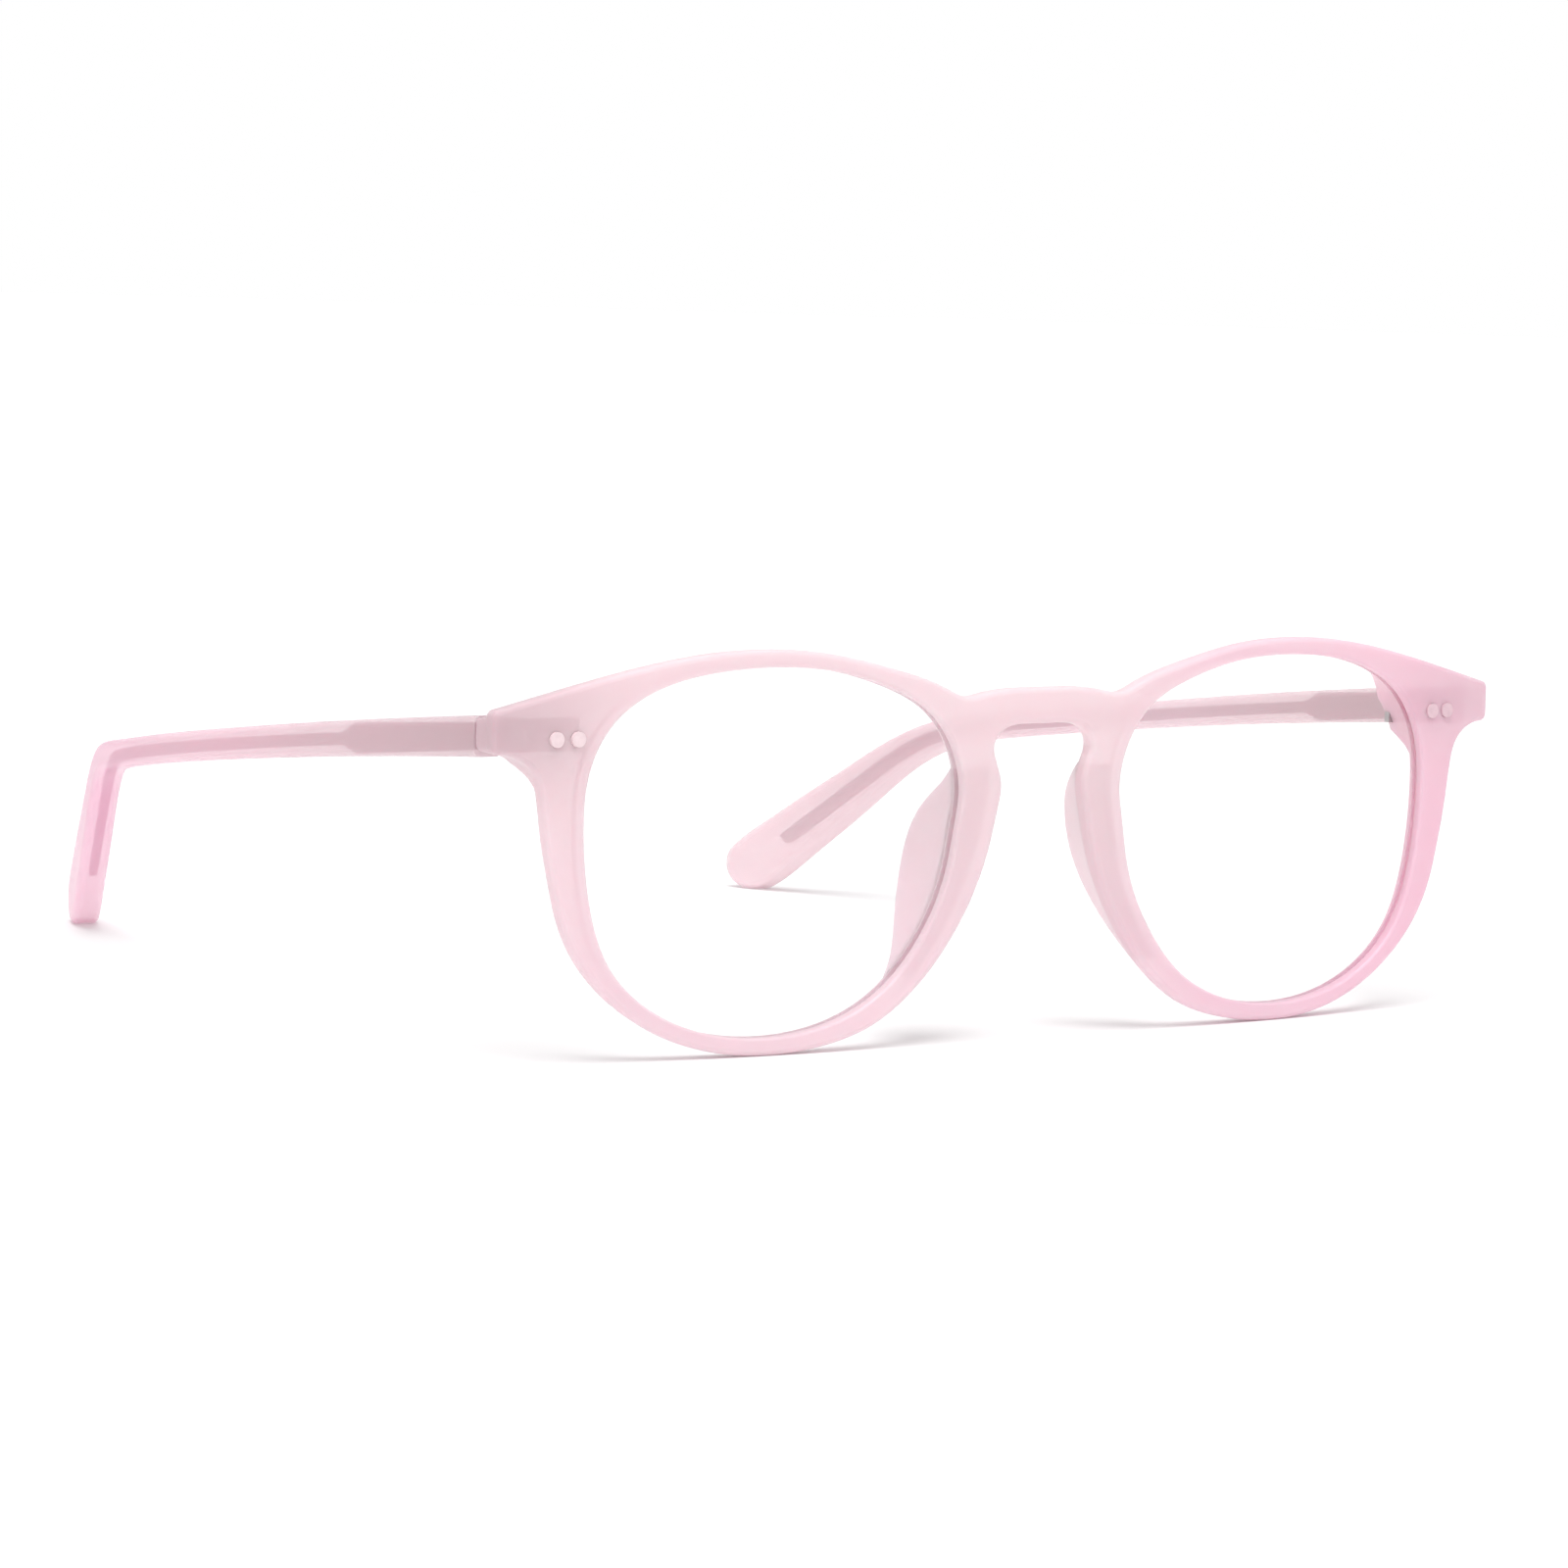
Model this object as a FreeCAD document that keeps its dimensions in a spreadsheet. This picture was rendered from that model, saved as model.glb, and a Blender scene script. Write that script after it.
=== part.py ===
import FreeCAD, Part
import math
import os
import Sketcher
from FreeCAD import Placement, Rotation, Vector

# Plastic blue-light glasses: an acetate front with two clear lenses, two nose pads,
# riveted three-barrel hinges and two wire-cored acetate temples.
# +X is the wearer's left, the front faces -Y, the temples run back along +Y, and the
# glasses stand open on the rims and the temple tips at Z = 0.

doc = FreeCAD.newDocument("glasses")

SIZES = [
    # whole object
    ("half_depth", 67.48, "front apex to the middle of the open glasses"),
    ("lens_centre_x", 35.0, "lens centre from the middle of the bridge"),
    ("lens_centre_z", 22.415, "height of the lens centres"),
    ("front_bow", 515.0, "radius of the front's face, seen from above"),
    # acetate front
    ("rim_depth", 2.5, "thickness of the rims and bridge, front to back"),
    ("hinge_block_back", 8.62, "back face of the end pieces behind the front apex"),
    ("hinge_block_inner", 56.2, "inner edge of the end piece's full thickness"),
    ("hinge_block_foot", 32.9, "lower edge of the end piece's full thickness"),
    ("front_round", 0.6, "rounding of the front's outer edges"),
    ("back_round", 1.1, "rounding of the front's back edges"),
    ("corner_round", 0.9, "rounding of the end pieces' corners"),
    ("block_inset", 0.05, "step from the rim's side down to the thick end piece's"),
    ("block_fall", 7.0, "fall of the end pieces' tops towards the back, degrees"),
    ("block_round", 0.3, "rounding round the back of the end pieces"),
    ("eye_round", 0.3, "rounding of the eye openings' front edges"),
    ("eye_back_round", 0.4, "rounding of the eye openings' back edges"),
    # lenses
    ("lens_radius", 400.0, "radius of the lens's front surface"),
    ("lens_setback", 0.75, "lens apex behind the front's face"),
    ("lens_thickness", 1.1, "lens thickness"),
    ("bevel_height", 0.55, "how far the raised band round the lens reaches into the groove"),
    ("bevel_width", 0.75, "width of that band"),
    ("bevel_start", 0.1, "band behind the lens's front surface"),
    ("lens_play", 0.02, "play between the lens and the opening"),
    ("groove_play", 0.04, "play between the band and the groove"),
    # nose pads
    ("pad_reach", 9.7, "pad crest behind the front apex"),
    ("pad_start", 1.5, "where the pad begins behind the front's face"),
    ("pad_flare", 25.0, "flare of the pad's nose side, degrees"),
    # hinge
    ("hinge_x", 65.0, "hinge axis from the middle"),
    ("hinge_y", 9.02, "hinge axis behind the front apex"),
    ("hinge_z", 35.6, "middle of the hinge barrels"),
    ("barrel_radius", 1.2, "hinge barrel radius"),
    ("barrel_half", 0.6, "half height of the temple's barrel"),
    ("barrel_gap", 0.05, "gap between neighbouring barrels"),
    ("hinge_half", 1.8, "half height of the whole hinge"),
    ("plate_length", 7.6, "front plate from the hinge axis to its inner end"),
    ("plate_thickness", 0.8, "thickness of both hinge plates"),
    ("plate_offset", 0.4, "hinge axis behind the face of the front plate"),
    ("barrel_swing", 0.3, "clearance round the barrels in the end piece"),
    ("knuckle_swing", 0.25, "clearance round the temple's barrel in the front hinge"),
    ("leaf_length", 6.5, "temple leaf length behind the axis"),
    ("neck_length", 1.2, "length of the neck between barrel and leaf"),
    ("leaf_half", 1.45, "half height of the temple leaf"),
    # screw and rivets
    ("screw_radius", 0.6, "hinge screw shank radius"),
    ("screw_head_radius", 0.9, "hinge screw head radius"),
    ("screw_head_height", 0.5, "hinge screw head height"),
    ("counterbore_play", 0.02, "radial play round the screw's head"),
    ("screw_slot", 0.3, "width of the screwdriver slot"),
    ("running_play", 0.03, "radial play of the temple's barrel on the screw"),
    ("fixed_play", 0.01, "radial play of fixed pins in their holes"),
    ("rivet_z", 35.5, "height of the rivets"),
    ("rivet_outer_x", 62.85, "outer rivet from the middle"),
    ("rivet_pitch", 2.55, "distance between the two rivets"),
    ("rivet_head_radius", 0.85, "rivet disc radius"),
    ("rivet_seat", 0.25, "how deep the disc sits in the face"),
    ("rivet_proud", 0.3, "how far the disc stands off the face"),
    ("rivet_radius", 0.5, "rivet shank radius"),
    # temples
    ("temple_offset", 3.35, "temple centre outside the hinge axis"),
    ("temple_thickness", 3.7, "temple thickness at the hinge"),
    ("joint_gap", 0.15, "gap between the end piece and the temple"),
    ("temple_open", 3.25, "opening beyond square, degrees"),
    ("temple_straight", 53.0, "straight stretch before the temple curves inwards"),
    ("inward_radius", 86.0, "radius of the inward curve, seen from above"),
    ("inward_turn", 26.0, "turn of the inward curve, degrees"),
    ("drop_start", 5.2, "drop angle at the hinge, degrees"),
    ("drop_end", 8.6, "drop angle where the ear bend begins, degrees"),
    ("bend_start", 90.0, "hinge to the ear bend"),
    ("bend_radius", 27.0, "radius of the ear bend"),
    ("tip_angle", 39.31, "drop angle of the tip, degrees"),
    ("temple_length", 132.5, "hinge to the end of the tip along the temple"),
    ("temple_round", 0.9, "rounding of the temple's edges"),
    # wire core
    ("core_thickness", 1.0, "thickness of the core"),
    ("core_offset", 0.55, "core's middle inside the temple's middle"),
    ("paddle_half", 1.45, "half height of the core's paddle at the hinge"),
    ("paddle_end_half", 1.75, "half height of the core's paddle at its other end"),
    ("paddle_start", 1.4, "hinge to the start of the paddle"),
    ("paddle_end", 25.6, "hinge to the end of the paddle's full height"),
    ("wire_start", 28.4, "hinge to the start of the plain wire"),
    ("wire_half", 0.7, "half height of the core's wire"),
    ("core_end", 123.0, "hinge to the end of the wire"),
]

sheet = doc.addObject("Spreadsheet::Sheet", "sizes")
for number, (alias, value, meaning) in enumerate(SIZES, start=1):
    sheet.set(f"A{number}", meaning)
    sheet.set(f"B{number}", str(value))
    sheet.setAlias(f"B{number}", alias)
doc.recompute()


def size(alias):
    """A driving dimension from the sheet, in millimetres or degrees."""
    return float(getattr(sheet, alias))


# ---------------------------------------------------------------- outlines
# Points of the front are (x, height above the lens centre), for the +X half.

EYE = [(11.3, 4.0), (11.7, 9.6), (15.2, 14.9), (20.6, 17.8), (27.8, 19.8), (35.0, 20.45),
       (42.3, 20.1), (50.3, 18.3), (55.9, 14.6), (58.7, 9.2), (59.2, 3.4), (58.4, -4.4),
       (55.6, -12.0), (49.6, -17.3), (42.2, -19.9), (35.0, -20.4), (28.0, -19.3), (21.5, -16.2),
       (16.3, -10.7), (12.9, -3.9)]
BROW = [(0.0, 17.55), (5.0, 17.5), (8.8, 17.0), (10.7, 16.75), (13.4, 17.7), (21.0, 20.15),
        (29.0, 21.85), (36.0, 22.4), (43.8, 22.05), (53.5, 20.4), (61.7, 18.4), (70.2, 16.15)]
CHEEK = [(70.2, 11.45), (67.1, 10.95), (65.15, 9.4), (64.2, 6.6), (63.6, 2.4), (62.6, -2.6),
         (60.9, -8.4), (57.6, -13.5), (53.2, -17.3), (47.6, -20.3), (41.6, -21.95), (35.0, -22.4),
         (28.5, -21.7), (22.2, -19.75), (16.75, -16.0), (12.5, -11.25), (9.0, -5.4), (7.2, -0.7),
         (6.1, 3.8), (5.7, 7.0), (6.4, 9.3), (6.8, 11.1), (5.8, 12.7), (3.9, 13.4), (0.0, 13.5)]
PAD_TOP = 10.5
PAD_FOOT = -16.3
PAD_PROFILE = [(1.2, 9.7), (2.8, 8.2), (4.7, 6.6), (7.4, 4.4), (9.5, 0.4), (9.6, -3.6), (7.2, -8.8),
               (3.9, -12.9), (2.2, -15.2), (1.2, -16.2)]


def on_front(point):
    """A point of the front's outline, in the plane Y = 0."""
    return Vector(point[0], 0, size("lens_centre_z") + point[1])


def spline(points, closed):
    curve = Part.BSplineCurve()
    curve.interpolate(Points=points, PeriodicFlag=closed)
    return curve


def smooth(points, closed=False, shift=0.0):
    """Edges of one smooth curve through the points, cut after every fourth span.

    A shift moves an outline of the front sideways, to the left of its direction of travel.
    """
    curve = spline(points, closed)
    if shift:
        first, last = curve.FirstParameter, curve.LastParameter
        steps = 2 * (len(curve.getKnots()) - 1)
        moved = []
        for step in range(steps if closed else steps + 1):
            place = first + (last - first) * step / steps
            along = curve.tangent(place)[0]
            moved.append(curve.value(place) + Vector(-along.z, 0, along.x).normalize() * shift)
        if not closed:
            moved[-1].x = points[-1].x - math.copysign(abs(shift), points[-1].x)
            moved[0].x = points[0].x - math.copysign(abs(shift), points[0].x)
        curve = spline(moved, closed)
    knots = curve.getKnots()
    if closed:
        curve.setNotPeriodic()
    cuts = knots[:-1:4] + knots[-1:]
    edges = []
    for start, end in zip(cuts[:-1], cuts[1:]):
        piece = curve.copy()
        piece.segment(start, end)
        edges.append(piece.toShape())
    return edges


def line(start, end):
    return Part.LineSegment(start, end).toShape()


def both_sides(points):
    """The outline points of the +X half, from the middle outwards, and their mirror images."""
    half = [on_front(point) for point in points]
    mirrored = [Vector(-point.x, 0, point.z) for point in reversed(half[1:])]
    return mirrored + half


def front_outline(inset=0.0):
    """The front's whole outline, or one that runs a distance inside it."""
    brow = smooth(both_sides(BROW), shift=-inset)
    cheeks = smooth(both_sides(CHEEK[::-1]), shift=inset)
    ends = [(curve[0].Vertexes[0].Point, curve[-1].Vertexes[-1].Point) for curve in (brow, cheeks)]
    sides = [line(ends[0][index], ends[1][index]) for index in (0, 1)]
    return Part.Wire(Part.__sortEdges__(brow + cheeks + sides))


def eye_outline(grow=0.0):
    """The eye opening's outline, or one that runs a distance outside it."""
    return Part.Wire(smooth([on_front(point) for point in EYE], closed=True, shift=grow))


def prism(wire, start, end):
    """A wire in the plane Y = 0, filled and extruded from one depth to another."""
    face = Part.Face(wire)
    face.translate(Vector(0, start, 0))
    return face.extrude(Vector(0, end - start, 0))


def arc_y(radius, x, setback=0.0):
    """Depth of a bowed face that starts at the front apex, at a distance x from the middle."""
    return setback + radius - math.sqrt(radius ** 2 - x ** 2)


# ---------------------------------------------------------------- acetate front

def bowed_slab(setback, depth):
    """A tall slab that follows the front's bow, from one depth behind its face to another."""
    bow, half_width, low, high = size("front_bow"), 75.0, -5.0, 50.0
    faces = []
    for start in (setback, depth):
        radius = bow - start
        end_y = arc_y(radius, half_width, start)
        faces.append((Vector(-half_width, end_y, low), Vector(0, start, low), Vector(half_width, end_y, low)))
    arcs = [Part.Arc(*points).toShape() for points in faces]
    sides = [line(faces[0][end], faces[1][end]) for end in (0, 2)]
    wire = Part.Wire(Part.__sortEdges__(arcs + sides))
    return Part.Face(wire).extrude(Vector(0, 0, high - low))


def polygon_prism(points, extrusion):
    corners = [Vector(*point) for point in points]
    return Part.Face(Part.makePolygon(corners + corners[:1])).extrude(Vector(*extrusion))


def mirrored(shape):
    return shape.mirror(Vector(0, 0, 0), Vector(1, 0, 0))


def edges_where(shape, test):
    """Edges whose points all pass the test."""
    real_edges = [edge for edge in shape.Edges if not edge.Degenerated]
    return [edge for edge in real_edges if all(test(point) for point in edge.discretize(7))]


def on_bow(setback):
    """A test for points on the bowed surface at a depth behind the front's face."""
    bow = size("front_bow")
    return lambda p: abs(math.hypot(p.x, p.y - bow) - (bow - setback)) < 0.01


def round_corners(shape):
    """Round the four upright corners at the outer ends of the end pieces."""
    end_x = shape.BoundBox.XMax
    corners = [edge for edge in edges_where(shape, lambda p: abs(abs(p.x) - end_x) < 0.01)
               if abs(edge.Vertexes[0].Z - edge.Vertexes[-1].Z) < 0.01]
    return shape.makeFillet(size("corner_round"), corners)


def rims():
    """Both rims and the bridge, one bowed sheet with rounded edges."""
    depth = size("rim_depth")
    sheet_part = prism(front_outline(), -3, 15).common(bowed_slab(0, depth))
    sheet_part = round_corners(sheet_part)
    for setback, radius in ((0, size("front_round")), (depth, size("back_round"))):
        sheet_part = sheet_part.makeFillet(radius, edges_where(sheet_part, on_bow(setback)))
    opening = prism(eye_outline(), -3, 15)
    sheet_part = sheet_part.cut([opening, mirrored(opening)])
    for setback, radius in ((0, size("eye_round")), (depth, size("eye_back_round"))):
        loops = [edge for edge in edges_where(sheet_part, on_bow(setback)) if in_eye(edge)]
        sheet_part = sheet_part.makeFillet(radius, loops)
    return sheet_part


def in_eye(edge):
    """Does an edge run round an eye opening?"""
    middle = edge.discretize(3)[1]
    eye = Part.Face(eye_outline(0.05))
    flat = Vector(abs(middle.x), 0, middle.z)
    return eye.isInside(flat, 0.001, True)


def end_block():
    """The thick +X end piece behind the rim, which carries the hinge."""
    back, foot, inner = size("hinge_block_back"), size("hinge_block_foot"), size("hinge_block_inner")
    end_x = BROW[-1][0] + 2
    plan = polygon_prism([(inner - 6.5, 3.2, 0), (end_x, 5.8, 0), (end_x, back, 0), (inner, back, 0)],
                         (0, 0, 60))
    slope = polygon_prism([(40, 2.5, foot - 5.2), (40, 5.0, foot - 3.8), (40, 6.4, foot - 1.8), (40, back, foot),
                           (40, back, 60), (40, 2.5, 60)], (40, 0, 0))
    inset = size("block_inset")
    straight = prism(front_outline(inset), 0, 15)
    fall = 15 * math.tan(math.radians(size("block_fall")))
    falling = Part.Face(front_outline(inset)).extrude(Vector(0, 15, -fall))
    block = round_corners(straight.common(plan).common(slope)).common(falling)
    rim_edge = [edge for edge in edges_where(block, lambda p: abs(p.y - back) < 0.01)
                if edge.discretize(3)[1].x > inner + 1 and edge.BoundBox.ZLength < 6 and not in_eye(edge)
                and edge.discretize(3)[1].z > foot + 0.01]
    block = block.makeFillet(size("block_round"), rim_edge)
    return block.cut(prism(eye_outline(inset), -3, 15))


# ---------------------------------------------------------------- lenses

def ball(depth):
    """The ball whose near side is the lens's surface at a depth behind its front surface."""
    bow, centre_x = size("front_bow"), size("lens_centre_x")
    face_y = arc_y(bow, centre_x)
    inward = Vector(-centre_x, bow - face_y, 0).normalize()
    apex = Vector(centre_x, face_y + size("lens_setback"), size("lens_centre_z"))
    centre = apex + inward * size("lens_radius")
    return Part.makeSphere(size("lens_radius") - depth, centre)


def bevel(grow=0.0):
    """The raised band round the lens, or the slightly larger groove for it."""
    start = size("bevel_start") - grow
    end = size("bevel_start") + size("bevel_width") + grow
    band = prism(eye_outline(size("bevel_height") + grow), -3, 15)
    return band.common(ball(start)).cut(ball(end))


def lens():
    body = prism(eye_outline(-size("lens_play")), -3, 15)
    body = body.common(ball(0)).cut(ball(size("lens_thickness")))
    return body.fuse(bevel()).Solids[0]


# ---------------------------------------------------------------- nose pads

def nose_pad(rims_shape):
    """The +X nose pad: the rim's nose edge drawn out backwards and flared towards the lens."""
    nose_side = [point for point in CHEEK if PAD_FOOT < point[1] < PAD_TOP]
    lower_end, upper_end = nose_side[0], nose_side[-1]
    curve = smooth([on_front(point) for point in nose_side])
    corners = [on_front(point) for point in (upper_end, (30.0, upper_end[1]), (30.0, lower_end[1]), lower_end)]
    closing = [line(*pair) for pair in zip(corners[:-1], corners[1:])]
    face = Part.Face(Part.Wire(Part.__sortEdges__(curve + closing)))
    start = size("pad_start")
    face.translate(Vector(0, start, 0))
    run = size("pad_reach") + 1 - start
    drawn = face.extrude(Vector(run * math.tan(math.radians(size("pad_flare"))), run, 0))
    profile = [Vector(0, depth, size("lens_centre_z") + height) for depth, height in PAD_PROFILE]
    edges = smooth(profile) + [line(profile[0], profile[-1])]
    slice_face = Part.Face(Part.Wire(Part.__sortEdges__(edges)))
    pad = drawn.common(slice_face.extrude(Vector(40, 0, 0)))
    pad = pad.cut([prism(eye_outline(), -3, 15), rims_shape])
    return max(pad.Solids, key=lambda solid: solid.Volume)


# ---------------------------------------------------------------- temples
# A temple is drawn in its own frame: origin on the hinge axis, +X outwards, +Y backwards.

TEMPLE_HALVES = [(-2, 2.25), (8, 2.18), (18, 2.08), (28, 2.0), (42, 1.88), (55, 1.78), (68, 1.7),
                 (80, 1.67), (89, 1.75), (96, 1.88), (103, 2.15), (110, 2.6), (117, 3.05), (123, 3.33)]
TIP_RADIUS = 3.4
REACH = 200.0


def path_point(along, above=0.0):
    """A point of the temple seen from the side, a distance above its middle line."""
    start, end, tip = (math.radians(size(name)) for name in ("drop_start", "drop_end", "tip_angle"))
    bend_start, bend_radius = size("bend_start"), size("bend_radius")
    slow_radius = bend_start / (end - start)
    bend_end = bend_start + bend_radius * (tip - end)
    y, z = 0.0, 0.0
    for radius, first, last, from_here, to_here in ((slow_radius, start, end, 0, bend_start),
                                                    (bend_radius, end, tip, bend_start, bend_end)):
        if from_here == 0 or along > from_here:
            angle = first + (min(along, to_here) - from_here) / radius
            y += radius * (math.sin(angle) - math.sin(first))
            z -= radius * (math.cos(first) - math.cos(angle))
    if along > bend_end:
        angle = tip
        y += (along - bend_end) * math.cos(tip)
        z -= (along - bend_end) * math.sin(tip)
    return Vector(0, y + above * math.sin(angle), z + above * math.cos(angle))


def side_slab(outline_edges):
    """A closed outline in the plane X = 0, extruded sideways through the whole temple."""
    face = Part.Face(Part.Wire(Part.__sortEdges__(outline_edges)))
    face.translate(Vector(-REACH / 2, 0, 0))
    return face.extrude(Vector(REACH, 0, 0))


def temple_outline():
    cap_start = size("temple_length") - TIP_RADIUS
    upper = [path_point(along, half) for along, half in TEMPLE_HALVES]
    lower = [path_point(along, -half) for along, half in TEMPLE_HALVES]
    cap = [path_point(cap_start + TIP_RADIUS * math.sin(turn), TIP_RADIUS * math.cos(turn))
           for turn in (math.radians(step * 22.5) for step in range(9))]
    edges = smooth(upper + cap + lower[::-1])
    return edges + [line(lower[0], upper[0])]


def core_outline(play):
    """The core's paddle, its sloped shoulders and its wire, as straight-sided stretches."""
    stations = [(size("paddle_start") - play, size("paddle_half") + play),
                (size("paddle_end") + play, size("paddle_end_half") + play),
                (size("wire_start") + play, size("wire_half") + play)]
    straight_part = [path_point(*station) for station in stations]
    straight_low = [path_point(along, -half) for along, half in stations]
    wire_stations = [stations[-1][0] + (size("core_end") + play - stations[-1][0]) * step / 16 for step in range(17)]
    wire_top = [path_point(along, size("wire_half") + play) for along in wire_stations]
    wire_low = [path_point(along, -size("wire_half") - play) for along in wire_stations]
    edges = smooth(wire_top) + smooth(wire_low) + [line(wire_top[-1], wire_low[-1])]
    for row in (straight_part, straight_low):
        edges += [line(*pair) for pair in zip(row[:-1], row[1:])]
    return edges + [line(straight_part[0], straight_low[0])]


def plan_band(middle, half, start_y, skew=0.0):
    """The temple's plan: straight, then a curve inwards, then straight, as a tall band."""
    straight, bend, turn = size("temple_straight"), size("inward_radius"), math.radians(size("inward_turn"))
    centre_x = size("temple_offset") - bend
    heading = Vector(-math.sin(turn), math.cos(turn), 0)
    rows = []
    for x in (middle - half, middle + half):
        radius = x - centre_x
        first = Vector(x, start_y + x * skew, 0)
        bend_from = Vector(x, straight, 0)
        bend_middle = Vector(centre_x + radius * math.cos(turn / 2), straight + radius * math.sin(turn / 2), 0)
        bend_to = Vector(centre_x + radius * math.cos(turn), straight + radius * math.sin(turn), 0)
        last = bend_to + heading * 80
        rows.append([line(first, bend_from), Part.Arc(bend_from, bend_middle, bend_to).toShape(),
                     line(bend_to, last), first, last])
    inner, outer = rows
    edges = inner[:3] + outer[:3] + [line(inner[3], outer[3]), line(inner[4], outer[4])]
    face = Part.Face(Part.Wire(Part.__sortEdges__(edges)))
    face.translate(Vector(0, 0, -REACH / 2))
    return face.extrude(Vector(0, 0, REACH))


def core(play=0.0):
    middle = size("temple_offset") - size("core_offset")
    half = size("core_thickness") / 2 + play
    return side_slab(core_outline(play)).common(plan_band(middle, half, -1)).Solids[0]


def hinge_leaf_space(play):
    """The leaf of the temple's hinge and its neck, grown by a play."""
    inner_x = size("temple_offset") - size("temple_thickness") / 2
    outer_x = size("temple_offset") - size("core_offset") - size("core_thickness") / 2
    length, half = size("leaf_length") + play, size("leaf_half") + play
    fall = length * math.tan(math.radians(size("drop_start")))
    leaf = polygon_prism([(inner_x - play, -play, half), (inner_x - play, length, half - fall),
                          (inner_x - play, length, -half - fall), (inner_x - play, -play, -half)],
                         (outer_x - inner_x + 2 * play, 0, 0))
    neck = Part.makeBox(outer_x + play, size("neck_length") + play, 2 * (size("barrel_half") + play),
                        Vector(0, 0, -size("barrel_half") - play))
    return leaf.fuse(neck)


def temple():
    """One acetate temple, hollowed for its core and the leaf of its hinge."""
    half = size("temple_thickness") / 2
    skew = math.tan(math.radians(size("temple_open")))
    start_y = size("joint_gap") - size("plate_offset")
    body = side_slab(temple_outline()).common(plan_band(size("temple_offset"), half, start_y, skew)).Solids[0]
    inner_x = size("temple_offset") - half
    outer_x = size("temple_offset") + half
    long_edges = [edge for edge in body.Edges if edge.BoundBox.YMax > 3]
    body = body.makeFillet(size("temple_round"), long_edges)
    body = body.cut([core(size("fixed_play")), hinge_leaf_space(size("fixed_play"))])
    return body.Solids[0]


# ---------------------------------------------------------------- placing the pieces

def shift_back():
    """Front pieces are drawn from the front's apex; the model's origin is half its depth behind."""
    return Placement(Vector(0, -size("half_depth"), 0), Rotation())


def temple_placement():
    hinge = Vector(size("hinge_x"), size("hinge_y") - size("half_depth"), size("hinge_z"))
    return Placement(hinge, Rotation(Vector(0, 0, 1), -size("temple_open")))


def add_shape(label, shape, placement):
    piece = doc.addObject("Part::Feature", label)
    piece.Label = label
    piece.Shape = shape
    piece.Placement = placement
    return piece


def add_mirrored(label, source):
    piece = doc.addObject("Part::Mirroring", label)
    piece.Label = label
    piece.Source = source
    piece.Normal = Vector(1, 0, 0)
    piece.Base = Vector(0, 0, 0)
    return piece


def bind(piece, **formulas):
    """Bind properties to formulas; a double underscore in a name stands for a dot."""
    for name, formula in formulas.items():
        piece.setExpression(name.replace("__", "."), formula)


def bind_hinge_place(piece):
    bind(piece, Placement__Base__x="sizes.hinge_x", Placement__Base__y="sizes.hinge_y - sizes.half_depth",
         Placement__Base__z="sizes.hinge_z")


# ---------------------------------------------------------------- hinges, drawn round their axis

def origin_plane(body, role):
    return [plane for plane in body.Origin.OriginFeatures if plane.Role == role][0]


def sketch_on(body, name, role):
    sketch = body.newObject("Sketcher::SketchObject", name)
    sketch.AttachmentSupport = (origin_plane(body, role), [""])
    sketch.MapMode = "FlatFace"
    return sketch


def draw_polygon(sketch, corners):
    """A closed polygon; each corner is a pair of formulas measured from the sketch's origin."""
    guesses = [Vector(*[float(doc.sizes.evalExpression(formula)) for formula in corner], 0) for corner in corners]
    count = len(corners)
    for index in range(count):
        sketch.addGeometry(Part.LineSegment(guesses[index], guesses[(index + 1) % count]), False)
    for index in range(count):
        sketch.addConstraint(Sketcher.Constraint("Coincident", index, 2, (index + 1) % count, 1))
    for index, corner in enumerate(corners):
        for kind, formula, guess in zip(("DistanceX", "DistanceY"), corner, guesses[index]):
            number = sketch.addConstraint(Sketcher.Constraint(kind, -1, 1, index, 1, guess))
            sketch.setExpression(f"Constraints[{number}]", formula)


def draw_circle(sketch, radius, centre=None):
    """A circle of a given radius formula, on the sketch's origin unless a centre is given."""
    at = centre or ("0", "0")
    guess = [float(doc.sizes.evalExpression(formula)) for formula in at]
    radius_guess = float(doc.sizes.evalExpression(radius))
    circle = sketch.addGeometry(Part.Circle(Vector(*guess, 0), Vector(0, 0, 1), radius_guess), False)
    number = sketch.addConstraint(Sketcher.Constraint("Radius", circle, radius_guess))
    sketch.setExpression(f"Constraints[{number}]", radius)
    if centre is None:
        sketch.addConstraint(Sketcher.Constraint("Coincident", circle, 3, -1, 1))
        return
    for kind, formula, value in zip(("DistanceX", "DistanceY"), centre, guess):
        number = sketch.addConstraint(Sketcher.Constraint(kind, -1, 1, circle, 3, value))
        sketch.setExpression(f"Constraints[{number}]", formula)


def add_pad(body, name, sketch, length, both_ways=True):
    feature = body.newObject("PartDesign::Pad", name)
    feature.Profile = sketch
    feature.SideType = "Symmetric" if both_ways else "One side"
    feature.setExpression("Length", length)
    return feature


def add_pocket(body, name, sketch, length, both_ways=True):
    feature = body.newObject("PartDesign::Pocket", name)
    feature.Profile = sketch
    feature.SideType = "Symmetric" if both_ways else "One side"
    feature.setExpression("Length", length)
    return feature


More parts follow.
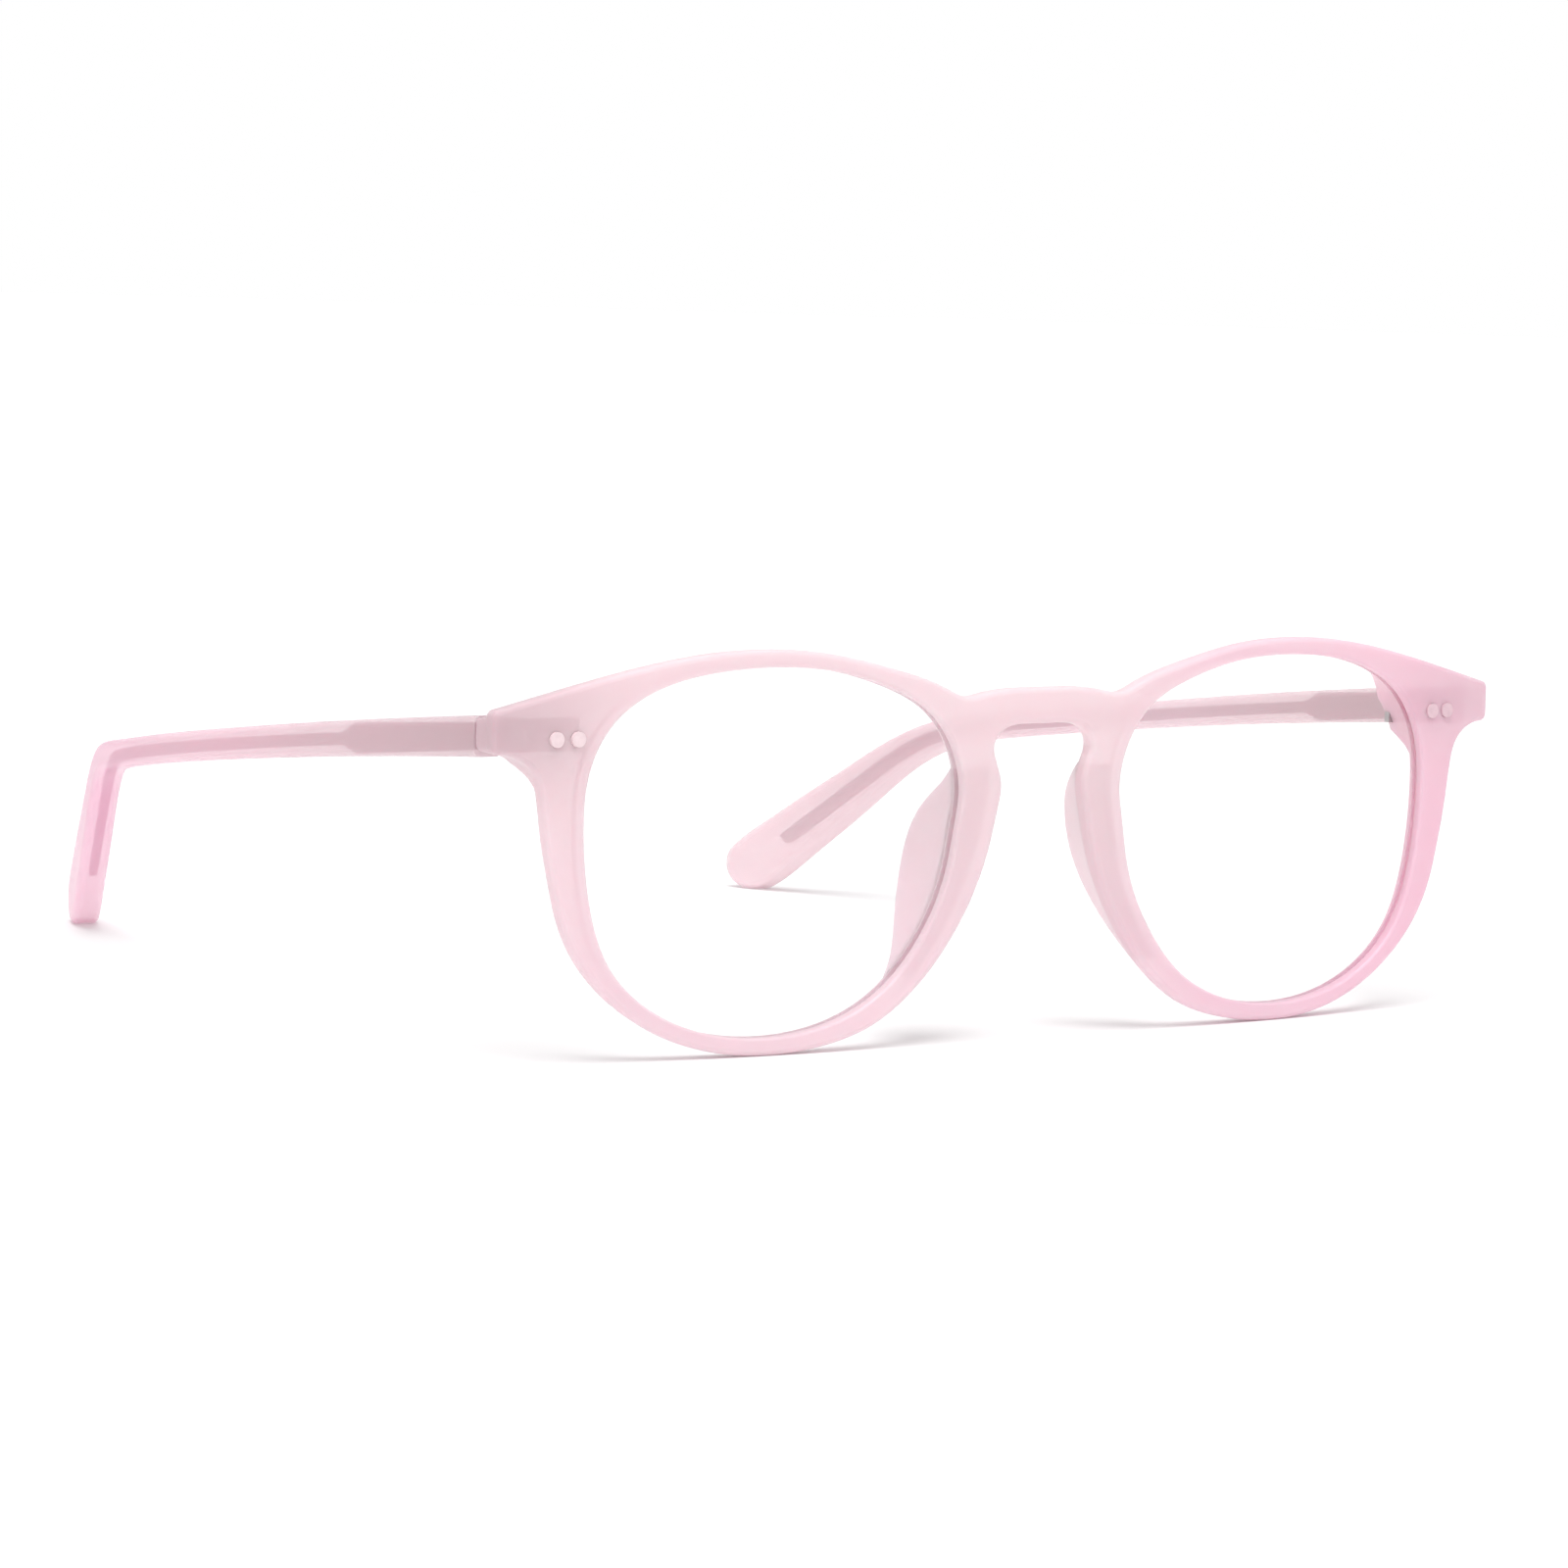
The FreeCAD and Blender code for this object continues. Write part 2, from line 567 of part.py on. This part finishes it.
def front_hinge_body(label):
    """The riveted plate with its two outer barrels."""
    body = doc.addObject("PartDesign::Body", label)
    body.Label = label
    plate = sketch_on(body, label + "_plate_sketch", "XY_Plane")
    near = "-sizes.plate_offset"
    far = "-sizes.plate_offset - sizes.plate_thickness"
    draw_polygon(plate, [("-sizes.plate_length", far), ("0", far), ("0", near), ("-sizes.plate_length", near)])
    add_pad(body, label + "_plate", plate, "2 * sizes.hinge_half")
    barrels = sketch_on(body, label + "_barrel_sketch", "XY_Plane")
    draw_circle(barrels, "sizes.barrel_radius")
    add_pad(body, label + "_barrels", barrels, "2 * sizes.hinge_half")
    middle = sketch_on(body, label + "_middle_sketch", "XY_Plane")
    draw_circle(middle, "sizes.barrel_radius + sizes.knuckle_swing")
    add_pocket(body, label + "_middle", middle, "2 * (sizes.barrel_half + sizes.barrel_gap)")
    bore = sketch_on(body, label + "_bore_sketch", "XY_Plane")
    draw_circle(bore, "sizes.screw_radius + sizes.fixed_play")
    add_pocket(body, label + "_bore", bore, "3 * sizes.hinge_half")
    seat = sketch_on(body, label + "_seat_sketch", "XY_Plane")
    seat.setExpression("AttachmentOffset.Base.z", "sizes.hinge_half")
    draw_circle(seat, "sizes.screw_head_radius + sizes.counterbore_play")
    add_pocket(body, label + "_seat", seat, "sizes.screw_head_height + sizes.counterbore_play", False)
    holes = sketch_on(body, label + "_rivet_sketch", "XZ_Plane")
    for shift in ("0", "sizes.rivet_pitch"):
        centre = (f"sizes.rivet_outer_x - {shift} - sizes.hinge_x", "sizes.rivet_z - sizes.hinge_z")
        draw_circle(holes, "sizes.rivet_radius + sizes.fixed_play", centre)
    add_pocket(body, label + "_rivet_holes", holes, "4 * (sizes.plate_offset + sizes.plate_thickness)")
    bind_hinge_place(body)
    return body


def temple_hinge_body(label):
    """The middle barrel with its neck and the leaf that is brazed to the core."""
    body = doc.addObject("PartDesign::Body", label)
    body.Label = label
    barrel = sketch_on(body, label + "_barrel_sketch", "XY_Plane")
    draw_circle(barrel, "sizes.barrel_radius")
    add_pad(body, label + "_barrel", barrel, "2 * sizes.barrel_half")
    neck = sketch_on(body, label + "_neck_sketch", "XY_Plane")
    reach = "sizes.temple_offset - sizes.core_offset - sizes.core_thickness / 2"
    draw_polygon(neck, [("0", "0"), (reach, "0"), (reach, "sizes.neck_length"), ("0", "sizes.neck_length")])
    add_pad(body, label + "_neck", neck, "2 * sizes.barrel_half")
    leaf = sketch_on(body, label + "_leaf_sketch", "YZ_Plane")
    leaf.setExpression("AttachmentOffset.Base.z", "sizes.temple_offset - sizes.temple_thickness / 2")
    fall = "sizes.leaf_length * tan(sizes.drop_start * 1 deg)"
    draw_polygon(leaf, [("0", "sizes.leaf_half"), ("sizes.leaf_length", f"sizes.leaf_half - {fall}"),
                        ("sizes.leaf_length", f"-sizes.leaf_half - {fall}"), ("0", "-sizes.leaf_half")])
    add_pad(body, label + "_leaf", leaf,
            "sizes.temple_thickness / 2 - sizes.core_offset - sizes.core_thickness / 2", False)
    bore = sketch_on(body, label + "_bore_sketch", "XY_Plane")
    draw_circle(bore, "sizes.screw_radius + sizes.running_play")
    add_pocket(body, label + "_bore", bore, "4 * sizes.barrel_half")
    body.Placement = temple_placement()
    bind_hinge_place(body)
    return body


# ---------------------------------------------------------------- screws and rivets

def screw(label):
    """The hinge screw: shank and slotted head, flush with the top of the hinge."""
    shank = doc.addObject("Part::Cylinder", label + "_shank")
    bind(shank, Radius="sizes.screw_radius", Height="2 * sizes.hinge_half",
         Placement__Base__z="-sizes.hinge_half")
    head = doc.addObject("Part::Cylinder", label + "_head")
    bind(head, Radius="sizes.screw_head_radius", Height="sizes.screw_head_height",
         Placement__Base__z="sizes.hinge_half - sizes.screw_head_height")
    joined = doc.addObject("Part::MultiFuse", label + "_blank")
    joined.Shapes = [shank, head]
    slot = doc.addObject("Part::Box", label + "_slot")
    bind(slot, Length="3 * sizes.screw_head_radius", Width="sizes.screw_slot", Height="sizes.screw_head_height",
         Placement__Base__x="-1.5 * sizes.screw_head_radius", Placement__Base__y="-sizes.screw_slot / 2",
         Placement__Base__z="sizes.hinge_half - sizes.screw_head_height / 2")
    piece = doc.addObject("Part::Cut", label)
    piece.Label = label
    piece.Base = joined
    piece.Tool = slot
    bind_hinge_place(piece)
    return piece


def rivet(label, x):
    """A rivet whose flat disc stands proud of the front's face; x is a formula."""
    face = f"(sizes.front_bow - sqrt(sizes.front_bow ^ 2 - ({x}) ^ 2))"
    forwards = Placement(Vector(0, 0, 0), Rotation(Vector(1, 0, 0), 90))
    disc = doc.addObject("Part::Cylinder", label + "_disc")
    disc.Placement = forwards
    bind(disc, Radius="sizes.rivet_head_radius", Height="sizes.rivet_seat + sizes.rivet_proud",
         Placement__Base__y=f"{face} + sizes.rivet_seat")
    shank = doc.addObject("Part::Cylinder", label + "_shank")
    shank.Placement = forwards
    bind(shank, Radius="sizes.rivet_radius",
         Height=f"sizes.hinge_y - sizes.plate_offset - {face} - sizes.rivet_seat",
         Placement__Base__y="sizes.hinge_y - sizes.plate_offset")
    piece = doc.addObject("Part::MultiFuse", label)
    piece.Label = label
    piece.Shapes = [disc, shank]
    bind(piece, Placement__Base__x=x, Placement__Base__y="-sizes.half_depth", Placement__Base__z="sizes.rivet_z")
    return piece


def hinge_cutters():
    """What the +X end piece loses to the hinge plate, its barrels and the two rivets."""
    play, half = size("fixed_play"), size("hinge_half")
    x, y, z = size("hinge_x"), size("hinge_y"), size("hinge_z")
    plate_front = y - size("plate_offset") - size("plate_thickness")
    cutters = [Part.makeBox(size("plate_length") + play, size("plate_thickness") + 3, 2 * (half + play),
                            Vector(x - size("plate_length") - play, plate_front - play, z - half - play)),
               Part.makeCylinder(size("barrel_radius") + size("barrel_swing"), 12,
                                 Vector(x, y, z - half - size("barrel_swing")), Vector(0, 0, 1))]
    for rivet_x in (size("rivet_outer_x"), size("rivet_outer_x") - size("rivet_pitch")):
        face_y = arc_y(size("front_bow"), rivet_x)
        seat = Vector(rivet_x, face_y + size("rivet_seat"), size("rivet_z"))
        cutters.append(Part.makeCylinder(size("rivet_head_radius") + play, 3, seat, Vector(0, -1, 0)))
        cutters.append(Part.makeCylinder(size("rivet_radius") + play, 8, seat, Vector(0, 1, 0)))
    return cutters


# ---------------------------------------------------------------- the assembly

rims_shape = rims()
block = end_block()
cutters = [bevel(size("groove_play"))] + hinge_cutters()
front_shape = rims_shape.fuse([block, mirrored(block)])
front_shape = front_shape.cut(cutters + [mirrored(cutter) for cutter in cutters])
if len(front_shape.Solids) != 1:
    raise RuntimeError("the end pieces did not join the rims")

left_pieces = {
    "lens_left": add_shape("lens_left", lens(), shift_back()),
    "nose_pad_left": add_shape("nose_pad_left", nose_pad(rims_shape), shift_back()),
    "rivet_left_outer": rivet("rivet_left_outer", "sizes.rivet_outer_x"),
    "rivet_left_inner": rivet("rivet_left_inner", "sizes.rivet_outer_x - sizes.rivet_pitch"),
    "front_hinge_left": front_hinge_body("front_hinge_left"),
    "hinge_screw_left": screw("hinge_screw_left"),
    "temple_hinge_left": temple_hinge_body("temple_hinge_left"),
    "temple_core_left": add_shape("temple_core_left", core(), temple_placement()),
    "temple_left": add_shape("temple_left", temple(), temple_placement()),
}
pieces = {"front_frame": add_shape("front_frame", front_shape.Solids[0], shift_back())}
doc.recompute()
for left_label, left_piece in left_pieces.items():
    pieces[left_label] = left_piece
    right_label = left_label.replace("left", "right")
    pieces[right_label] = add_mirrored(right_label, left_piece)
doc.recompute()


# ---------------------------------------------------------------- checks and export

for item in doc.Objects:
    for state in ("Invalid", "Error"):
        if state in item.State:
            raise RuntimeError(f"{item.Label} is {item.State}")

for label, piece in pieces.items():
    shape = piece.Shape
    if shape.isNull() or not shape.isValid() or len(shape.Solids) != 1:
        raise RuntimeError(f"{label} is not one valid solid")

whole = FreeCAD.BoundBox()
for piece in pieces.values():
    whole.add(piece.Shape.optimalBoundingBox(True, False))
print("overall", [round(value, 3) for value in (whole.XMin, whole.XMax, whole.YMin, whole.YMax, whole.ZMin,
                                               whole.ZMax)])
if abs(whole.YMin + whole.YMax) > 0.1 or abs(whole.ZMin) > 0.1:
    raise RuntimeError("the open glasses are not centred on the origin: check half_depth and tip_angle")

os.makedirs("parts", exist_ok=True)
for label, piece in pieces.items():
    piece.Shape.exportStep(f"parts/{label}.step")
print("pieces", len(pieces))
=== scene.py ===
import math

import bpy
from mathutils import Matrix, Vector

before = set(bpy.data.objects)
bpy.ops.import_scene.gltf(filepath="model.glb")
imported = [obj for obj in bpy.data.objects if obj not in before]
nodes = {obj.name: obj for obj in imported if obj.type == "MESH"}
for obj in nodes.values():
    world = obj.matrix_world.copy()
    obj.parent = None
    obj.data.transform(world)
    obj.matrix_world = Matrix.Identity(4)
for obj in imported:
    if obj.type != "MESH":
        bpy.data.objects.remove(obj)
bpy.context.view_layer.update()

scene = bpy.context.scene
scene.view_settings.view_transform = "Standard"

# ------------------------------------------------------------------ camera, floor and light

# Angles are in degrees, lengths in metres, the camera's lens and sensor in millimetres.
VIEW_AZIMUTH, VIEW_ELEVATION, VIEW_ROLL = 34.82, 5.73, 1.70
VIEW_DISTANCE = 0.660
VIEW_AIM = Vector((-0.02371, -0.05026, 0.02813))
CAMERA_LENS, CAMERA_SENSOR = 134.2, 36
FLOOR_RADIUS, FLOOR_TONE = 4, 0.91
ROOM_STRENGTH = 0.66
OVERHEAD_STRENGTH, OVERHEAD_SPREAD = 2.1, 40
OVERHEAD_FROM = (-0.15, -0.22, 1.0)


def add_camera():
    """The camera, aimed at the glasses from the wearer's right."""
    camera = bpy.data.objects.new("camera", bpy.data.cameras.new("camera"))
    camera.data.lens = CAMERA_LENS
    camera.data.sensor_width = CAMERA_SENSOR
    azimuth, elevation = math.radians(VIEW_AZIMUTH), math.radians(VIEW_ELEVATION)
    towards = Vector((math.sin(azimuth) * math.cos(elevation), math.cos(azimuth) * math.cos(elevation),
                      -math.sin(elevation)))
    camera.location = VIEW_AIM - towards * VIEW_DISTANCE
    turn = towards.to_track_quat("-Z", "Y").to_matrix()
    camera.matrix_world = (Matrix.Translation(camera.location) @ turn.to_4x4()
                           @ Matrix.Rotation(math.radians(VIEW_ROLL), 4, "Z"))
    scene.collection.objects.link(camera)
    scene.camera = camera


def add_overhead():
    """A broad light from above, in front and to the camera's side."""
    light = bpy.data.lights.new("overhead", "SUN")
    light.angle = math.radians(OVERHEAD_SPREAD)
    light.energy = OVERHEAD_STRENGTH
    lamp = bpy.data.objects.new("overhead", light)
    lamp.rotation_euler = (-Vector(OVERHEAD_FROM)).to_track_quat("-Z", "Y").to_euler()
    scene.collection.objects.link(lamp)


def add_floor():
    """A pale matt floor, wide enough to reach the horizon."""
    bpy.ops.mesh.primitive_circle_add(vertices=64, radius=FLOOR_RADIUS, fill_type="NGON", location=(0, 0, 0))
    floor = bpy.context.object
    floor.name = "floor"
    material = bpy.data.materials.new("floor")
    material.use_nodes = True
    surface = material.node_tree.nodes["Principled BSDF"]
    surface.inputs["Base Color"].default_value = (FLOOR_TONE, FLOOR_TONE, FLOOR_TONE, 1)
    surface.inputs["Roughness"].default_value = 0.9
    surface.inputs["Specular IOR Level"].default_value = 0.0
    floor.data.materials.append(material)


def light_world():
    """A soft white room, and a backdrop that is plain white to the camera."""
    world = bpy.data.worlds.new("studio")
    scene.world = world
    world.use_nodes = True
    nodes, links = world.node_tree.nodes, world.node_tree.links
    room = nodes["Background"]
    room.inputs["Strength"].default_value = ROOM_STRENGTH
    room.inputs["Color"].default_value = (1, 1, 1, 1)
    backdrop = nodes.new("ShaderNodeBackground")
    backdrop.inputs["Color"].default_value = (1, 1, 1, 1)
    mix = nodes.new("ShaderNodeMixShader")
    links.new(nodes.new("ShaderNodeLightPath").outputs["Is Camera Ray"], mix.inputs["Fac"])
    links.new(room.outputs["Background"], mix.inputs[1])
    links.new(backdrop.outputs["Background"], mix.inputs[2])
    links.new(mix.outputs["Shader"], nodes["World Output"].inputs["Surface"])


add_camera()
add_floor()
light_world()
add_overhead()

# ------------------------------------------------------------------ materials

NOISE_MIDDLE = (0.3, 0.7)               # the stretch in which most of a noise's values lie
GRAIN_DEPTH, ACETATE_DEPTH = 0.000005, 0.00001
CLOUD_COLOURS = [(0, (0.92, 0.70, 0.76)), (1, (0.98, 0.79, 0.84))]
CLOUD_SHARE = 0.10
FOOT_HEIGHTS = (0.0, 0.035)             # where the foot tint is strongest, and where it has gone
# Where the painted hinge shadow lies: a grey laid into the front's colour round each hinge.
HINGE_SHADOW_SIDES = (0.051, 0.070)            # distance from the middle at which the hinge tints start, and are full
HINGE_SHADOW_HEIGHTS = (0.023, 0.037)
LENS_LEAST_GLOSS, LENS_EDGE_GLOSS = 0.02, 0.35


class Tree:
    """A material's node tree, with short ways to add and join nodes."""

    def __init__(self, name):
        self.material = bpy.data.materials.new(name)
        self.material.use_nodes = True
        self.nodes = self.material.node_tree.nodes
        self.surface = self.nodes["Principled BSDF"]
        self.output = self.nodes["Material Output"]

    def add(self, kind, **values):
        node = self.nodes.new(kind)
        for key, value in values.items():
            setattr(node, key, value)
        return node

    def join(self, source, target):
        self.material.node_tree.links.new(source, target)

    def noise(self, scale, detail=3.0):
        noise = self.add("ShaderNodeTexNoise")
        noise.inputs["Scale"].default_value = scale
        noise.inputs["Detail"].default_value = detail
        noise.inputs["Roughness"].default_value = 0.55
        self.join(self.add("ShaderNodeTexCoord").outputs["Object"], noise.inputs["Vector"])
        return noise.outputs["Fac"]

    def position(self, axis):
        split = self.add("ShaderNodeSeparateXYZ")
        self.join(self.add("ShaderNodeTexCoord").outputs["Object"], split.inputs["Vector"])
        return split.outputs[axis]

    def span(self, source, low, high):
        """Rises smoothly from 0 to 1 as the source goes from low to high."""
        scaled = self.add("ShaderNodeMapRange", interpolation_type="SMOOTHSTEP")
        scaled.inputs["From Min"].default_value = low
        scaled.inputs["From Max"].default_value = high
        self.join(source, scaled.inputs["Value"])
        return scaled.outputs["Result"]

    def ramp(self, source, low, high, stops):
        """Colours along a value; stops are (place between low and high, colour)."""
        scaled = self.add("ShaderNodeMapRange")
        scaled.inputs["From Min"].default_value = low
        scaled.inputs["From Max"].default_value = high
        self.join(source, scaled.inputs["Value"])
        ramp = self.add("ShaderNodeValToRGB")
        ramp.color_ramp.interpolation = "EASE"
        while len(ramp.color_ramp.elements) < len(stops):
            ramp.color_ramp.elements.new(0.5)
        for element, (place, colour) in zip(ramp.color_ramp.elements, stops):
            element.position = place
            element.color = (*colour, 1)
        self.join(scaled.outputs["Result"], ramp.inputs["Fac"])
        return ramp.outputs["Color"]

    def arithmetic(self, operation, *values):
        node = self.add("ShaderNodeMath", operation=operation)
        for socket, value in zip(node.inputs, values):
            if isinstance(value, (int, float)):
                socket.default_value = value
            else:
                self.join(value, socket)
        return node.outputs["Value"]

    def mix_colours(self, first, second, factor, blend="MIX"):
        mix = self.add("ShaderNodeMix", data_type="RGBA", blend_type=blend)
        if isinstance(factor, float):
            mix.inputs["Factor"].default_value = factor
        else:
            self.join(factor, mix.inputs["Factor"])
        self.join(first, mix.inputs[6])
        self.join(second, mix.inputs[7])
        return mix.outputs[2]

    def bump(self, height, distance, strength):
        bump = self.add("ShaderNodeBump")
        bump.inputs["Distance"].default_value = distance
        bump.inputs["Strength"].default_value = strength
        self.join(height, bump.inputs["Height"])
        self.join(bump.outputs["Normal"], self.surface.inputs["Normal"])

    def see_through(self, tint, share):
        """Let a share of the light straight through, as milky plastic does."""
        clear = self.add("ShaderNodeBsdfTransparent")
        clear.inputs["Color"].default_value = (*tint, 1)
        mix = self.add("ShaderNodeMixShader")
        mix.inputs["Fac"].default_value = share
        self.join(self.surface.outputs["BSDF"], mix.inputs[1])
        self.join(clear.outputs["BSDF"], mix.inputs[2])
        self.join(mix.outputs["Shader"], self.output.inputs["Surface"])


def acetate(name, axis, low, high, stops, share, hinge_shadow_tint=None, foot_tint=None):
    """Milky translucent pink acetate, whose pink changes along one axis.

    The two hinge tints are a painted shadow: they grey it round the right and the left hinge, standing in for the
    hinge's shadow seen through the acetate. The foot tint deepens it towards the rims' lower edges.
    """
    tree = Tree(name)
    colour = tree.ramp(tree.position(axis), low, high, stops)
    if foot_tint:
        height = tree.ramp(tree.position("Z"), *FOOT_HEIGHTS, [(0, foot_tint), (1, (1, 1, 1))])
        colour = tree.mix_colours(colour, height, 1.0, "MULTIPLY")
    # Painted shadow: grey mixed into the colour round each hinge, standing in for the hinge's shadow seen through
    # the acetate.
    if hinge_shadow_tint:
        sideways = tree.span(tree.arithmetic("ABSOLUTE", tree.position("X")), *HINGE_SHADOW_SIDES)
        upwards = tree.span(tree.position("Z"), *HINGE_SHADOW_HEIGHTS)
        painted_hinge_shadow = tree.ramp(tree.position("X"), -0.05, 0.05, [(0, hinge_shadow_tint[0]), (1, hinge_shadow_tint[1])])
        colour = tree.mix_colours(colour, painted_hinge_shadow, tree.arithmetic("MULTIPLY", sideways, upwards))
    clouds = tree.ramp(tree.noise(90), *NOISE_MIDDLE, CLOUD_COLOURS)
    tree.join(tree.mix_colours(colour, clouds, CLOUD_SHARE), tree.surface.inputs["Base Color"])
    tree.surface.inputs["Roughness"].default_value = 0.30
    tree.surface.inputs["IOR"].default_value = 1.47
    tree.surface.inputs["Specular IOR Level"].default_value = 0.4
    tree.surface.inputs["Subsurface Weight"].default_value = 0.5
    tree.surface.inputs["Subsurface Radius"].default_value = (1.0, 0.7, 0.8)
    tree.surface.inputs["Subsurface Scale"].default_value = 0.0015
    tree.bump(tree.noise(2500, 2), ACETATE_DEPTH, 0.4)
    tree.see_through((1.0, 0.97, 0.98), share)
    return tree.material


def grained(name, colours, roughness, grain, detail, relief):
    """A fine-grained surface that varies between two close colours."""
    tree = Tree(name)
    fine = tree.noise(grain, detail)
    tree.join(tree.ramp(fine, *NOISE_MIDDLE, [(0, colours[0]), (1, colours[1])]), tree.surface.inputs["Base Color"])
    tree.surface.inputs["Roughness"].default_value = roughness
    tree.bump(fine, GRAIN_DEPTH, relief)
    return tree


def metal(name, dark, light, roughness, grain):
    tree = grained(name, (dark, light), roughness, grain, detail=4, relief=0.5)
    tree.surface.inputs["Metallic"].default_value = 1.0
    return tree.material


# Painted reflection: a grained non-metal finish whose colours stand in for what the metal rivets reflect.
def painted_reflection_finish(name, dark, light):
    return grained(name, (dark, light), roughness=0.35, grain=1500, detail=3, relief=0.4).material


def lens_glass(name):
    """A clear coated lens: nearly everything goes through, and a little is mirrored."""
    tree = Tree(name)
    tree.nodes.remove(tree.surface)
    clear = tree.add("ShaderNodeBsdfTransparent")
    faint = tree.ramp(tree.noise(12, 1), *NOISE_MIDDLE, [(0, (0.990, 0.995, 1.0)), (1, (0.998, 0.998, 0.990))])
    tree.join(faint, clear.inputs["Color"])
    gloss = tree.add("ShaderNodeBsdfGlossy")
    gloss.inputs["Roughness"].default_value = 0.03
    gloss.inputs["Color"].default_value = (0.95, 0.97, 1.0, 1)
    facing = tree.add("ShaderNodeLayerWeight")
    facing.inputs["Blend"].default_value = 0.5
    grazing = tree.arithmetic("POWER", facing.outputs["Facing"], 4.0)
    share = tree.arithmetic("MULTIPLY_ADD", grazing, LENS_EDGE_GLOSS, LENS_LEAST_GLOSS)
    outside = tree.arithmetic("SUBTRACT", 1.0, tree.add("ShaderNodeNewGeometry").outputs["Backfacing"])
    mix = tree.add("ShaderNodeMixShader")
    tree.join(tree.arithmetic("MULTIPLY", share, outside), mix.inputs["Fac"])
    tree.join(clear.outputs["BSDF"], mix.inputs[1])
    tree.join(gloss.outputs["BSDF"], mix.inputs[2])
    tree.join(mix.outputs["Shader"], tree.output.inputs["Surface"])
    return tree.material


# The hinge tints below are a painted shadow of the hinges behind the acetate.
front_acetate = acetate(
    "front_acetate", "X", -0.07, 0.07,
    [(0, (0.94, 0.735, 0.775)), (0.3, (0.94, 0.745, 0.78)), (0.55, (0.93, 0.74, 0.775)),
     (0.72, (0.94, 0.67, 0.75)), (1, (0.94, 0.575, 0.70))],
    share=0.28, hinge_shadow_tint=((0.72, 0.54, 0.585), (0.82, 0.555, 0.645)), foot_tint=(1.0, 0.95, 0.985))

# Both temples start alike at the hinge; the right one is the pinker from the ear bend to the tip.
temple_start = [(0, (0.74, 0.56, 0.60)), (0.20, (0.80, 0.60, 0.65))]
right_end = [(0.45, (0.93, 0.63, 0.72)), (0.75, (0.94, 0.50, 0.67)), (1, (0.96, 0.62, 0.74))]
left_end = [(0.45, (0.88, 0.65, 0.72)), (0.75, (0.86, 0.62, 0.67)), (1, (0.93, 0.71, 0.76))]
right_acetate = acetate("right_acetate", "Y", -0.06, 0.07, temple_start + right_end, share=0.42)
left_acetate = acetate("left_acetate", "Y", -0.06, 0.07, temple_start + left_end, share=0.42)

hinge_metal = metal("hinge_metal", (0.44, 0.41, 0.42), (0.60, 0.56, 0.57), 0.32, 900)
screw_metal = metal("screw_metal", (0.50, 0.48, 0.49), (0.66, 0.63, 0.64), 0.28, 1200)
core_metal = metal("core_metal", (0.40, 0.27, 0.31), (0.50, 0.35, 0.39), 0.5, 700)
# Painted reflection: the near rivets are pale and the far ones mauve, standing in for the bright and the dark
# surroundings that the metal rivets mirror.
rivet_painted_bright_reflection = painted_reflection_finish("rivet_painted_bright_reflection", (0.85, 0.67, 0.70), (0.91, 0.73, 0.76))
rivet_painted_dark_reflection = painted_reflection_finish("rivet_painted_dark_reflection", (0.70, 0.49, 0.55), (0.78, 0.55, 0.61))
lens_material = lens_glass("lens")

# The first name start that fits a node gives its material.
FINISH = {"front_frame": front_acetate, "nose_pad": front_acetate, "temple_core": core_metal,
          "temple_hinge": hinge_metal, "front_hinge": hinge_metal, "hinge_screw": screw_metal,
          "rivet_right": rivet_painted_bright_reflection, "rivet_left": rivet_painted_dark_reflection, "lens": lens_material,
          "temple_right": right_acetate, "temple_left": left_acetate}


def finish_of(name):
    return next(material for prefix, material in FINISH.items() if name.startswith(prefix))


for name, node in nodes.items():
    node.data.materials.clear()
    node.data.materials.append(finish_of(name))
